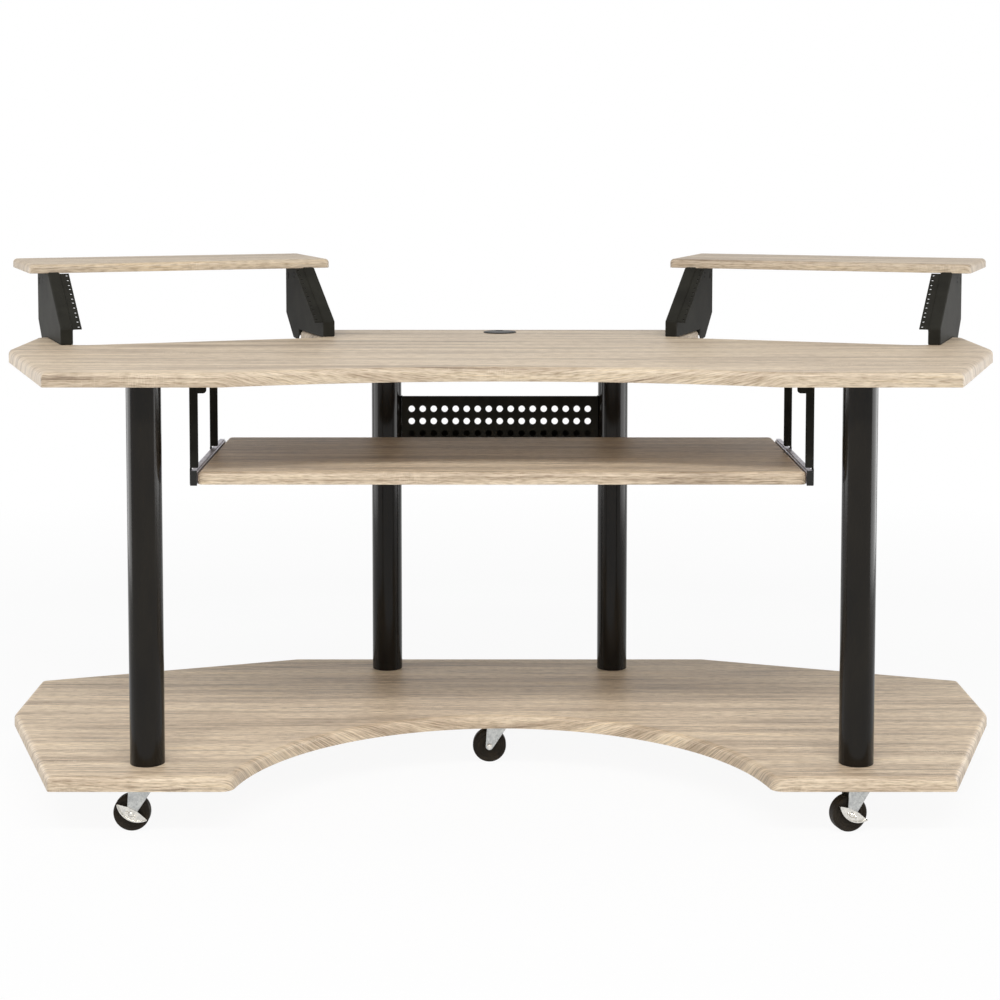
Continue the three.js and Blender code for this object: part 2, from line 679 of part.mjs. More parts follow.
const troughFront = rearPosts.back - trough.returnDepth / 2;
place('cable_trough', troughGeometry(), blackSheet, desk, 0, troughFront, trough.bottom);
place('grommet_liner', grommetLinerGeometry(), blackPlastic, desk, 0, grommet.back, deskTop);
place('grommet_cap', grommetCapGeometry(), blackPlastic, desk, 0, grommet.back, deskTop);

function addCaster(name, x, y, turn, hasBrake) {
  const group = new THREE.Group();
  group.position.set(x, y, casterHeight);
  desk.add(group);
  place(`caster_plate_${name}`, casterPlateGeometry(), zinc, group);
  const swivel = new THREE.Group();
  swivel.rotation.z = turn;
  group.add(swivel);
  const leverGap = seatGap + brake.sheet;
  const atAxle = [-caster.trail, 0, -axleDrop];
  place(`caster_fork_${name}`, forkGeometry(), zinc, swivel);
  place(`caster_axle_${name}`, axleGeometry(hasBrake ? leverGap : 0), brightSteel, swivel, ...atAxle);
  place(`caster_wheel_${name}`, wheelGeometry(), tread, swivel, ...atAxle);
  if (!hasBrake) return;
  const lever = place(`brake_lever_${name}`, brakeLeverGeometry(), brightSteel, swivel, ...atAxle);
  lever.position.y = -legOutside - seatGap;
  lever.rotation.y = brakeTilt;
}

addCaster('front_left', -frontCasters.halfSpacing, frontCasters.back, 0, true);
addCaster('front_right', frontCasters.halfSpacing, frontCasters.back, turnedCaster, true);
addCaster('centre', 0, centreCasterBack, 0, false);
addCaster('rear_left', -rearCasters.halfSpacing, rearCasters.back, 0, false);
addCaster('rear_right', rearCasters.halfSpacing, rearCasters.back, 0, false);

// The origin is on the floor, under the middle of the whole desk
const bounds = new THREE.Box3().setFromObject(desk, true);
desk.position.y = -(bounds.min.y + bounds.max.y) / 2;

export default desk;
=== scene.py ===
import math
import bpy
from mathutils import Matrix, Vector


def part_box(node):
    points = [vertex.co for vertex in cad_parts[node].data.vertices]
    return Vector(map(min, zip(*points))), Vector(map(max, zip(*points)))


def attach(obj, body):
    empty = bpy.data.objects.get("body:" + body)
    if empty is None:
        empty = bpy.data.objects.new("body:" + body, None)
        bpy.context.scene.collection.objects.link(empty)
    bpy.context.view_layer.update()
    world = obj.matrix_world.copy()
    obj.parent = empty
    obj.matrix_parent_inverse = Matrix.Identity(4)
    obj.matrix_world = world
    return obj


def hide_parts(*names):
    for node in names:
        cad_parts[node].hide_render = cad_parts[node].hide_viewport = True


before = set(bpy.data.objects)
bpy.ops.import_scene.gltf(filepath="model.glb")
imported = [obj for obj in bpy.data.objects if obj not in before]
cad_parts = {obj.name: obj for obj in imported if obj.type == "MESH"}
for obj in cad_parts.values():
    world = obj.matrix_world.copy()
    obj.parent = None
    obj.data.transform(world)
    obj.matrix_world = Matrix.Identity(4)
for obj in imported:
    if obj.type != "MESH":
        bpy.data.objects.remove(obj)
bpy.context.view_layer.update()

# A studio desk on casters: a winged desk top and a base panel held apart by four round posts, raised
# shelves over two slanted rack bays, a sliding keyboard tray and a perforated cable trough.
# Metres, +Z up. The user sits on the -Y side, and +X is to their right.

from types import SimpleNamespace as Sizes

import bmesh
import bpy
from mathutils import Matrix, Vector

# Hundredths of a millimetre by which pieces stay inside the frame's box
trim = 0.00001
wing_trim = 0.00003

# Gaps between pieces that are bolted together, and between pieces that turn in each other
gap = 0.0003
running_gap = 0.0005

# Lengths of cutters: one that passes any board, and one as a share of the sheet that it punches
through_cut = 1
punch_share = 4

# Points nearer to a plane than on_plane count as on it, and points nearer than weld become one.
on_plane = 0.002
weld = 0.00001

# Rounded edges, and the angle past which an edge is shaded sharp
ease_steps = 2
bend_steps = 3
smooth_angle = math.radians(40)

# Panels. Distances back are measured from the front edge of the desk top.
front_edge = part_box("desk_top")[0].y + trim
outline = Sizes(front_half_width=0.768, side_front=0.412, side_rear=0.657, rear_half_width=0.420)
half_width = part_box("base_panel")[1].x - trim
wing_turn = math.radians(20)
rear_edge = outline.side_rear + (half_width - outline.rear_half_width) * math.tan(wing_turn)
desk_scoop = Sizes(half_width=0.470, depth=0.091, corner_radius=0.060, arc_steps=48, corner_steps=8)
base_scoop = Sizes(half_width=0.457, depth=0.392, corner_radius=0.022, arc_steps=64, corner_steps=8)
board = Sizes(edge_radius=0.010, edge_steps=5, foot_radius=0.0008, corner_radius=0.003, corner_steps=3)
small_board = Sizes(edge_radius=0.008, edge_steps=5, foot_radius=0.0008, plan_radius=0.011, plan_steps=10)
bay = Sizes(clear_width=0.495, from_wing_corner=0.2885, seat_depth=0.1855, notch_lead=0.005)
notch_corner = Sizes(radius=0.035, steps=8)
shelf = Sizes(length=0.608, depth=0.248, front_setback=0.006)
cable_hole = Sizes(radius=0.029, sides=64)

# Posts
post_wall = 0.0015
post_rim = 0.0006
post_sides = 72

# Folded sheet metal
stand = Sizes(thickness=0.020, wall=0.002, bend=0.0026, foot_height=0.030, rake=0.150, height=0.127,
              depth=0.288, heel_height=0.028)
tail = Sizes(hook_gap=0.0015, drop=0.022, nose_drop=0.012, nose_length=0.006, length=0.036, rise=0.002)
stand_holes = Sizes(count=2, radius=0.002, forward=0.066, down=0.013, spacing=0.008, sides=16)
stand_slot = Sizes(width=0.005, height=0.013, forward=0.022, down=0.021)
rail = Sizes(flange=0.0185, sheet=0.002, bend=0.0028, bend_steps=4, side_depth=0.014, recess=0.0005,
             start=0.0005)
rail_holes = Sizes(radius=0.0024, from_free_edge=0.005, sides=20)
rack_unit = Sizes(height=0.04445, first_hole=0.00635, hole_pitch=0.015875, holes=3)
rack_units = 4
hanger = Sizes(sheet=0.002, bend=0.0026, width=0.015, depth=0.015, flange_lift=0.003, tab_reach=0.030,
               tab_height=0.024, tab_radius=0.006, tab_steps=6)
slide = Sizes(sheet=0.0015, bend=0.0022, cap=0.0025, cap_round=0.0008)
trough = Sizes(depth=0.090, lip=0.027, sheet=0.0015, bend=0.0025, return_depth=0.014, relief=0.004)
perforation = Sizes(radius=0.0065, sides=28, columns=17, rows=3, column_pitch=0.02225, row_pitch=0.025,
                    first_drop=0.026)

# Cable grommet
grommet = Sizes(back=0.766, flange_radius=0.033, flange_height=0.0022, sleeve_radius=0.0285, wall=0.0025,
                depth=0.020, sides=72)
ledge = Sizes(width=0.0025, thickness=0.002, drop=0.005)
cable_notch = Sizes(width=0.015, depth=0.017)

# Casters, drawn with the kingpin on Z and the mounting face at Z = 0
plate = Sizes(length=0.066, width=0.052, thickness=0.0025, corner_radius=0.007, corner_steps=6)
plate_screw = Sizes(inset=0.009, hole_radius=0.0027, sides=24)
raceway = Sizes(radius=0.020, height=0.003)
kingpin = Sizes(radius=0.0045, head_radius=0.008, tip_radius=0.0064, head_height=0.002)
crown = Sizes(radius=0.024, height=0.003, round=0.001)
fork = Sizes(sheet=0.0022, end_radius=0.0072, end_steps=16, shoulder=0.015, heel=0.0045, trail=0.021,
             round=0.0007)
wheel = Sizes(radius=0.0315, half_width=0.011, hub_radius=0.010, hub_half_width=0.0125, shoulder=0.004,
              shoulder_steps=6, dish=0.002, groove_radius=0.0225, groove_width=0.0018, groove_depth=0.0009,
              groove_lip=0.0001, sides=80)
axle = Sizes(radius=0.0035, head_radius=0.005, head_height=0.0025, brake_reach=0.0023, sides=32)
lever = Sizes(half_length=0.029, tip_rise=0.004, hub_rise=0.0085, hub_half_width=0.010, hub_round=0.005,
              hub_steps=5, belly=0.010, belly_steps=20, sheet=0.0014, lip=0.006, bend=0.0018)
lever_rivet = Sizes(radius=0.0026, height=0.0022, offset=0.0072, sides=24)
lever_tilt = math.radians(28)
turned_caster = math.radians(15)
round_sides = 48

# Screws with round heads and a socket
small_screw = Sizes(radius=0.0036, height=0.0018, socket_radius=0.0014, socket_depth=0.001, sides=20)

# Sections of round heads, as shares of their radius and height
screw_shares = [(1, 0), (1, 1 / 3), (0.72, 0.88)]
axle_shares = [(1, 0), (1, 1 / 3), (0.7, 0.85), (0, 1)]
rivet_shares = [(1, 0.3), (0.8, 0.72), (0.45, 0.94), (0, 1)]

no_shift = (0, 0, 0)
along_x = Vector((1, 0, 0))
along_y = Vector((0, 1, 0))
along_z = Vector((0, 0, 1))
sides = {"left": -1, "right": 1}
rows = ("front", "rear")


# Shaping

def draw_on(bm, last, points):
    """Carries a chain of edges on from the vertex last through points, and returns its new end."""
    for point in points:
        ahead = bm.verts.new(point)
        bm.edges.new((last, ahead))
        last = ahead
    return last


def draw_arc(bm, last, centre, angle, steps, axis=along_z):
    """Carries a chain of edges on from the vertex last along an arc, and returns its new end."""
    turned = bmesh.ops.spin(bm, geom=[last], cent=centre, axis=axis, dvec=no_shift, angle=angle,
                            steps=steps, use_merge=False, use_normal_flip=False, use_duplicate=False)
    return turned["geom_last"][0]


def flat_outline(points):
    """A flat face through a few points."""
    bm = bmesh.new()
    bm.faces.new([bm.verts.new(point) for point in points])
    return bm


def bevel(bm, edges, radius, steps):
    bmesh.ops.bevel(bm, geom=edges, offset=radius, offset_type="OFFSET", segments=steps, profile=0.5,
                    affect="EDGES", clamp_overlap=False, loop_slide=True, material=-1)


def round_corner(bm, point, radius, steps):
    """Rounds the corner of a flat outline that lies nearest to point."""
    corner = min(bm.verts, key=lambda vert: (vert.co - Vector(point)).length)
    arms = [edge.other_vert(corner).co - corner.co for edge in corner.link_edges]
    setback = radius / math.tan(arms[0].angle(arms[1]) / 2)
    bmesh.ops.bevel(bm, geom=[corner], offset=setback, offset_type="OFFSET", segments=steps,
                    profile=0.5, affect="VERTICES", clamp_overlap=False, material=-1)


def new_verts(result):
    return [item for item in result["geom"] if isinstance(item, bmesh.types.BMVert)]


def draw_out(bm, edges, shift):
    """Draws edges out into a strip of sheet."""
    strip = bmesh.ops.extrude_edge_only(bm, edges=edges)
    bmesh.ops.translate(bm, verts=new_verts(strip), vec=shift)


def extrude(bm, shift):
    """Makes a flat outline into a solid."""
    solid = bmesh.ops.extrude_face_region(bm, geom=bm.faces[:])
    bmesh.ops.translate(bm, verts=new_verts(solid), vec=shift)
    bmesh.ops.recalc_face_normals(bm, faces=bm.faces[:])


def sharp_edges(bm, least=30):
    """The edges where two faces meet at more than least degrees."""
    return [edge for edge in bm.edges if len(edge.link_faces) == 2
            and edge.calc_face_angle() > math.radians(least)]


def ease(bm, radius, steps=ease_steps):
    """Breaks every sharp edge."""
    bevel(bm, sharp_edges(bm), radius, steps)


def face_outwards(bm, direction):
    """Turns a sheet over where its face most square to direction looks away from it."""
    bmesh.ops.recalc_face_normals(bm, faces=bm.faces[:])
    lead = max(bm.faces, key=lambda face: abs(face.normal.dot(direction)) * face.calc_area())
    if lead.normal.dot(direction) < 0:
        bmesh.ops.reverse_faces(bm, faces=bm.faces[:])


def work_object(bm):
    mesh = bpy.data.meshes.new("work")
    bm.to_mesh(mesh)
    bm.free()
    holder = bpy.data.objects.new("work", mesh)
    bpy.context.scene.collection.objects.link(holder)
    return holder


def with_modifier(bm, kind, settings):
    """The mesh that a modifier makes of this one."""
    holder = work_object(bm)
    modifier = holder.modifiers.new(kind, kind)
    for name, value in settings.items():
        setattr(modifier, name, value)
    result = bmesh.new()
    result.from_object(holder, bpy.context.evaluated_depsgraph_get())
    bpy.data.meshes.remove(holder.data)
    return result


def give_wall(bm, thickness):
    """Gives a sheet its thickness, on the side away from its faces."""
    wall = {"thickness": thickness, "offset": -1, "use_even_offset": True, "use_quality_normals": True}
    return with_modifier(bm, "SOLIDIFY", wall)


def cut_away(bm, cutter):
    """What is left of a solid when another is cut out of it."""
    tool = work_object(cutter)
    result = with_modifier(bm, "BOOLEAN", {"operation": "DIFFERENCE", "solver": "EXACT", "object": tool})
    bpy.data.meshes.remove(tool.data)
    return result


def add_pin(bm, radius, length, sides, matrix):
    """A round pin centred on matrix, along its Z."""
    bmesh.ops.create_cone(bm, cap_ends=True, segments=sides, radius1=radius, radius2=radius,
                          depth=length, matrix=matrix)


def add_block(bm, size, matrix):
    bmesh.ops.create_cube(bm, size=1, matrix=matrix @ Matrix.Diagonal((*size, 1)))


def turn_round(bm, profile, sides):
    """Turns (radius, height) points about Z. They end on the axis or close on themselves."""
    verts = [bm.verts.new((radius, 0, height)) for radius, height in profile]
    edges = [bm.edges.new(pair) for pair in zip(verts, verts[1:])]
    if profile[0][0] > 0:
        edges.append(bm.edges.new((verts[-1], verts[0])))
    bmesh.ops.spin(bm, geom=verts + edges, cent=no_shift, axis=along_z, dvec=no_shift, angle=math.tau,
                   steps=sides, use_merge=True, use_normal_flip=False, use_duplicate=False)
    bmesh.ops.remove_doubles(bm, verts=bm.verts[:], dist=weld)
    bmesh.ops.recalc_face_normals(bm, faces=bm.faces[:])


def head_points(radius, height, shares):
    """The section of a round head."""
    return [(radius * out, height * up) for out, up in shares]


def merge_in(bm, other, matrix=Matrix()):
    """Adds a copy of another shape, placed by matrix."""
    mesh = bpy.data.meshes.new("part")
    other.to_mesh(mesh)
    mesh.transform(matrix)
    bm.from_mesh(mesh)
    bpy.data.meshes.remove(mesh)


def moved(x, y, z):
    return Matrix.Translation((x, y, z))


def turned_by(angle, axis):
    return Matrix.Rotation(angle, 4, axis)


def make_piece(bm, name, body, finish, matrix=Matrix(), nodes=()):
    """Makes a shape into a piece of the desk."""
    mesh = bpy.data.meshes.new(name)
    bm.to_mesh(mesh)
    bm.free()
    mesh.transform(matrix)
    mesh.materials.append(finish)
    mesh.shade_smooth()
    mesh.set_sharp_from_angle(angle=smooth_angle)
    piece = bpy.data.objects.new(name, mesh)
    bpy.context.scene.collection.objects.link(piece)
    flats = piece.modifiers.new("flats", "WEIGHTED_NORMAL")
    flats.keep_sharp = True
    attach(piece, body)
    if nodes:
        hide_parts(*nodes)
    return piece


# Finishes

def colour(red, green, blue):
    """A colour given as it looks on screen, from 0 to 255, as the linear colour that a shader takes."""
    parts = [value / 255 for value in (red, green, blue)]
    return [part / 12.92 if part <= 0.04045 else ((part + 0.055) / 1.055) ** 2.4 for part in parts] + [1]


class Finish:
    """A material built up from nodes round one main shader."""

    def __init__(self, name, **sockets):
        self.material = bpy.data.materials.new(name)
        self.material.use_nodes = True
        self.tree = self.material.node_tree
        self.shader = self.tree.nodes["Principled BSDF"]
        for socket, value in sockets.items():
            self.shader.inputs[socket.replace("_", " ")].default_value = value

    def node(self, kind, inputs=(), **settings):
        """Adds a node. Its inputs are values or the outputs of other nodes."""
        node = self.tree.nodes.new("ShaderNode" + kind)
        for name, value in settings.items():
            setattr(node, name, value)
        for socket, value in dict(inputs).items():
            self.feed(node.inputs[socket], value)
        return node

    def feed(self, socket, value):
        """Gives a socket a value or the output of another node."""
        if isinstance(value, bpy.types.NodeSocket):
            self.tree.links.new(value, socket)
        else:
            socket.default_value = value

    def drive(self, socket, value):
        self.tree.links.new(value, self.shader.inputs[socket])

    def place(self, size, turn=no_shift):
        """Object coordinates counted in cells of the given size, in a turned frame."""
        where = self.node("TexCoord").outputs["Object"]
        cells = {"Vector": where, "Rotation": turn, "Scale": size}
        return self.node("Mapping", cells, vector_type="TEXTURE").outputs["Vector"]

    def noise(self, size, detail=2, roughness=0.5, turn=no_shift, distortion=0):
        inputs = {"Vector": self.place(size, turn), "Scale": 1, "Detail": detail, "Roughness": roughness,
                  "Distortion": distortion}
        return self.node("TexNoise", inputs).outputs["Fac"]

    def spread(self, value, low, high, to_low=0, to_high=1):
        """Stretches the part of a value between low and high."""
        inputs = {"Value": value, "From Min": low, "From Max": high, "To Min": to_low,
                  "To Max": to_high}
        return self.node("MapRange", inputs).outputs["Result"]

    def sum(self, *weighted):
        """The sum of values times their weights."""
        total = 0
        for value, weight in weighted:
            total = self.node("Math", {0: value, 1: weight, 2: total}, operation="MULTIPLY_ADD").outputs[0]
        return total

    def ramp(self, value, stops):
        ramp = self.node("ValToRGB", {"Fac": value})
        elements = ramp.color_ramp.elements
        while len(elements) < len(stops):
            elements.new(1)
        for element, (position, shade) in zip(elements, stops):
            element.position = position
            element.color = shade
        return ramp.outputs["Color"]

    def mix(self, amount, first, second, blend="MIX"):
        node = self.node("Mix", data_type="RGBA", blend_type=blend)
        sockets = {socket.identifier: socket for socket in [*node.inputs, *node.outputs]}
        self.feed(sockets["Factor_Float"], amount)
        self.feed(sockets["A_Color"], first)
        self.feed(sockets["B_Color"], second)
        return sockets["Result_Color"]

    def bump(self, height, distance, strength=1.0):
        inputs = {"Height": height, "Distance": distance, "Strength": strength}
        self.drive("Normal", self.node("Bump", inputs).outputs["Normal"])


def wood_foil(name, painted_light_level, turn=0):
    """Pale oak print. Its grain runs along X before turn, and leans over the rounded edges. Its colours are
    scaled by a per-board level of painted light, which stands in for how brightly each board is lit.
    """
    wood = Finish(name, Roughness=0.5)
    lean = math.radians(45)
    lie = (lean, 0, turn)
    through = 10
    bands = wood.noise((0.80, 0.030, through), detail=3, turn=lie)
    figure = wood.noise((0.30, 0.0095, through), detail=4, roughness=0.6, turn=lie, distortion=0.5)
    streaks = wood.noise((0.20, 0.0032, through), detail=4, roughness=0.62, turn=lie)
    fibres = wood.noise((0.022, 0.0017, through), detail=2, roughness=0.6, turn=lie)
    tone = wood.sum((bands, 0.38), (figure, 0.24), (streaks, 0.38))
    shades = [
        (0.38, (148, 131, 111)),
        (0.44, (184, 165, 142)),
        (0.50, (211, 192, 167)),
        (0.55, (224, 207, 182)),
        (0.64, (233, 211, 177)),
    ]
    # Painted light: every shade is scaled by the board's level, lighter for a board that should look better
    # lit and darker for one that should look less lit.
    stops = [(place, colour(*(part * painted_light_level for part in shade))) for place, shade in shades]
    base = wood.ramp(tone, stops)
    dashes = wood.noise((0.085, 0.0019, through), detail=3, roughness=0.6, turn=lie)
    where = wood.noise((0.50, 0.022, through), detail=2, turn=lie)
    dash_mask = wood.spread(wood.sum((dashes, 0.60), (where, 0.40)), 0.57, 0.65, 0, 0.9)
    dashed = wood.mix(dash_mask, base, colour(146, 127, 106))
    across = wood.noise((0.0022, 0.012, through), detail=2, turn=lie)
    rays = wood.noise((0.14, 0.050, through), detail=1, turn=lie)
    ray_mask = wood.spread(wood.sum((across, 0.55), (rays, 0.45)), 0.57, 0.68, 0, 0.4)
    marked = wood.mix(ray_mask, dashed, colour(236, 220, 197))
    fine = wood.ramp(fibres, [(0.32, colour(204, 197, 188)), (0.58, colour(255, 255, 255))])
    wood.drive("Base Color", wood.mix(1.0, marked, fine, "MULTIPLY"))
    wood.drive("Roughness", wood.spread(streaks, 0.3, 0.7, 0.42, 0.58))
    wood.bump(wood.sum((fibres, 0.5), (dash_mask, -0.5)), 0.0002, 0.5)
    return wood.material


def black_tube():
    """Satin black paint over drawn tube."""
    paint = Finish("black_tube", Specular_IOR_Level=0.2)
    cloud = paint.noise((0.030, 0.030, 0.12), detail=3)
    grain = paint.noise((0.0012, 0.0012, 0.0030), detail=2)
    paint.drive("Base Color", paint.ramp(cloud, [(0.3, colour(22, 19, 15)), (0.7, colour(30, 26, 20))]))
    paint.drive("Roughness", paint.spread(cloud, 0.3, 0.7, 0.13, 0.17))
    paint.bump(grain, 0.00004, 0.25)
    return paint.material


def black_powder():
    """Fine textured powder coat on folded sheet."""
    coat = Finish("black_powder", Specular_IOR_Level=0.06)
    cloud = coat.noise((0.05, 0.05, 0.05), detail=3)
    grit = coat.noise((0.0009, 0.0009, 0.0009), detail=3)
    coat.drive("Base Color", coat.ramp(cloud, [(0.3, colour(32, 31, 27)), (0.7, colour(43, 42, 37))]))
    coat.drive("Roughness", coat.spread(grit, 0.3, 0.7, 0.55, 0.7))
    coat.bump(grit, 0.00012, 0.5)
    return coat.material


def zinc_plate(name, dull, bright):
    """Zinc plating with soft blotches."""
    zinc = Finish(name, Metallic=0.85, Roughness=0.4)
    blotches = zinc.noise((0.006, 0.006, 0.006), detail=3, distortion=1)
    brushing = zinc.noise((0.0006, 0.0006, 0.004), detail=2)
    zinc.drive("Base Color", zinc.ramp(blotches, [(0.3, dull), (0.7, bright)]))
    zinc.drive("Roughness", zinc.spread(blotches, 0.3, 0.7, 0.46, 0.34))
    zinc.bump(zinc.sum((blotches, 0.6), (brushing, 0.4)), 0.0001, 0.35)
    return zinc.material


def bright_steel():
    """Polished plating on the brake levers and screw heads."""
    steel = Finish("bright_steel", Metallic=1.0, Roughness=0.22)
    haze = steel.noise((0.004, 0.004, 0.004), detail=2)
    steel.drive("Base Color", steel.ramp(haze, [(0.3, colour(205, 203, 198)), (0.7, colour(235, 232, 224))]))
    steel.drive("Roughness", steel.spread(haze, 0.3, 0.7, 0.16, 0.30))
    steel.bump(haze, 0.00005, 0.3)
    return steel.material


def raw_steel():
    """Bare steel of the threaded plugs."""
    steel = Finish("raw_steel", Metallic=0.9, Roughness=0.5)
    scale = steel.noise((0.005, 0.005, 0.005), detail=4)
    steel.drive("Base Color", steel.ramp(scale, [(0.3, colour(96, 94, 92)), (0.7, colour(140, 138, 135))]))
    steel.bump(scale, 0.0001, 0.4)
    return steel.material


def tread_rubber():
    """Dark wheel rubber with a dull bloom."""
    rubber = Finish("tread_rubber", Specular_IOR_Level=0.15)
    bloom = rubber.noise((0.010, 0.010, 0.010), detail=3)
    skin = rubber.noise((0.0010, 0.0010, 0.0010), detail=2)
    rubber.drive("Base Color", rubber.ramp(bloom, [(0.3, colour(36, 31, 25)), (0.7, colour(50, 44, 35))]))
    rubber.drive("Roughness", rubber.spread(bloom, 0.3, 0.7, 0.5, 0.66))
    rubber.bump(skin, 0.0001, 0.4)
    return rubber.material


def black_plastic():
    """Moulded plastic with a fine spark texture."""
    plastic = Finish("black_plastic", Specular_IOR_Level=0.25)
    spark = plastic.noise((0.0007, 0.0007, 0.0007), detail=2)
    shade = plastic.noise((0.02, 0.02, 0.02), detail=2)
    plastic.drive("Base Color", plastic.ramp(shade, [(0.3, colour(26, 26, 25)), (0.7, colour(34, 34, 32))]))
    plastic.drive("Roughness", plastic.spread(spark, 0.3, 0.7, 0.4, 0.55))
    plastic.bump(spark, 0.00008, 0.5)
    return plastic.material


# Painted light: one oak print, scaled lighter on the base and tray and darker on the desk top and shelves,
# standing in for the light that falls on each board.
desk_wood = wood_foil("oak_desk", 0.98)
base_wood = wood_foil("oak_base", 1.07)
tray_wood = wood_foil("oak_tray", 1.02)
wing_wood = {name: wood_foil("oak_shelf_" + name, 0.95, -side * wing_turn) for name, side in sides.items()}
tube_paint = black_tube()
powder_coat = black_powder()
fork_zinc = zinc_plate("fork_zinc", colour(172, 174, 174), colour(212, 213, 210))
slide_zinc = zinc_plate("slide_zinc", colour(168, 167, 178), colour(204, 203, 214))
polished = bright_steel()
plug_steel = raw_steel()
rubber = tread_rubber()
plastic = black_plastic()


# Boards

def raise_board(bm, thickness, shape, corners):
    """Thickens an outline, rounds the rim of its top, and breaks its upright corners and its lower rim."""
    extrude(bm, (0, 0, thickness))
    top_rim = [edge for edge in sharp_edges(bm) if all(vert.co.z > thickness / 2 for vert in edge.verts)]
    bevel(bm, top_rim, shape.edge_radius, shape.edge_steps)
    reach = 2 * shape.edge_radius
    for x, y in corners:
        near = {vert for vert in bm.verts if (vert.co.xy - Vector((x, y))).length < reach}
        upright = [edge for edge in bm.edges if near.issuperset(edge.verts)]
        bevel(bm, upright, shape.corner_radius, shape.corner_steps)
    foot_rim = [edge for edge in sharp_edges(bm) if all(vert.co.z < on_plane for vert in edge.verts)]
    bevel(bm, foot_rim, shape.foot_radius, ease_steps)


def draw_scoop(bm, scoop):
    """The right half of a scooped front edge, from its middle out to the straight edge."""
    radius = (scoop.half_width**2 + scoop.depth**2) / (2 * scoop.depth)
    centre_y = scoop.depth - radius
    lift = scoop.corner_radius - centre_y
    corner_x = math.sqrt((radius + scoop.corner_radius) ** 2 - lift**2)
    slope = math.atan2(lift, corner_x)
    middle = bm.verts.new((0, scoop.depth, 0))
    meeting = draw_arc(bm, middle, (0, centre_y, 0), slope - math.pi / 2, scoop.arc_steps // 2)
    corner_centre = (corner_x, scoop.corner_radius, 0)
    return draw_arc(bm, meeting, corner_centre, math.pi / 2 - slope, scoop.corner_steps)


def on_wing(along, back):
    """Place on the right wing: so far along its rear edge from the wing corner, and so far back."""
    x = half_width - along * math.cos(wing_turn) + back * math.sin(wing_turn)
    y = outline.side_rear + along * math.sin(wing_turn) + back * math.cos(wing_turn)
    return x, y


def winged_board(name, finish, scoop, rear_corners, round_places, cutter=None):
    """A panel of the desk. Its outline is drawn on the right and mirrored."""
    low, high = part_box(name)
    sharp = [(outline.front_half_width, 0), (half_width, outline.side_front),
             (half_width, outline.side_rear), *rear_corners]
    bm = bmesh.new()
    last = draw_scoop(bm, scoop)
    draw_on(bm, last, [(x, y, 0) for x, y in [*sharp, (0, rear_edge)]])
    bmesh.ops.mirror(bm, geom=bm.verts[:] + bm.edges[:], matrix=Matrix(), merge_dist=weld, axis="X")
    bmesh.ops.contextual_create(bm, geom=bm.edges[:])
    for x, y in round_places:
        for side in sides.values():
            round_corner(bm, (side * x, y, 0), notch_corner.radius, notch_corner.steps)
    upright = [(side * x, y) for x, y in sharp if (x, y) not in round_places for side in sides.values()]
    raise_board(bm, high.z - low.z, board, upright)
    if cutter:
        bm = cut_away(bm, cutter)
    make_piece(bm, name + "_board", "frame", finish, moved(0, front_edge, low.z), [name])


def desk_top():
    outer_wall = bay.from_wing_corner - bay.clear_width / 2
    inner_wall = bay.from_wing_corner + bay.clear_width / 2
    bottom = -bay.seat_depth - bay.notch_lead
    mouth_back = (rear_edge - outline.side_rear) / math.cos(wing_turn) - inner_wall * math.tan(wing_turn)
    seats = [on_wing(outer_wall, bottom), on_wing(inner_wall, bottom)]
    rear = [on_wing(outer_wall, 0), *seats, on_wing(inner_wall, mouth_back)]
    cutter = bmesh.new()
    add_pin(cutter, cable_hole.radius, through_cut, cable_hole.sides, moved(0, grommet.back, 0))
    winged_board("desk_top", desk_wood, desk_scoop, rear, seats, cutter)


def base_panel():
    winged_board("base_panel", base_wood, base_scoop, [(outline.rear_half_width, rear_edge)], [])


def square_board(width, depth, thickness):
    half = width / 2
    corners = [(-half, 0, 0), (half, 0, 0), (half, depth, 0), (-half, depth, 0)]
    bm = flat_outline(corners)
    for corner in corners:
        round_corner(bm, corner, small_board.plan_radius, small_board.plan_steps)
    raise_board(bm, thickness, small_board, [])
    return bm


def wing_place(side):
    """The frame of a wing: X along its rear edge and Y back, from between the stands' front ends."""
    x, y = on_wing(bay.from_wing_corner, -bay.seat_depth)
    corner = moved(side * x, front_edge + y - wing_trim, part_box("desk_top")[1].z + gap)
    return corner @ turned_by(-side * wing_turn, "Z")


def shelf_board(name, side):
    low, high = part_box("shelf_" + name)
    bm = square_board(shelf.length, shelf.depth, high.z - low.z)
    front = stand.rake + shelf.front_setback
    place = wing_place(side) @ moved(0, front, stand.height + gap - trim)
    make_piece(bm, "shelf_board_" + name, "frame", wing_wood[name], place, ["shelf_" + name])


def keyboard_tray():
    low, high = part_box("keyboard_tray")
    bm = square_board(high.x - low.x, high.y - low.y, high.z - low.z)
    make_piece(bm, "tray_board", "tray", tray_wood, moved(0, low.y, low.z), ["keyboard_tray"])


# Posts

def post(name):
    low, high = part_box(name)
    radius = (high.x - low.x) / 2
    bore = radius - post_wall
    length = high.z - low.z
    bm = bmesh.new()
    turn_round(bm, [(bore, 0), (radius, 0), (radius, length), (bore, length)], post_sides)
    ease(bm, post_rim)
    place = moved((low.x + high.x) / 2, (low.y + high.y) / 2, low.z)
    make_piece(bm, name.replace("post", "tube"), "frame", tube_paint, place, [name])


# Stands and rack rails

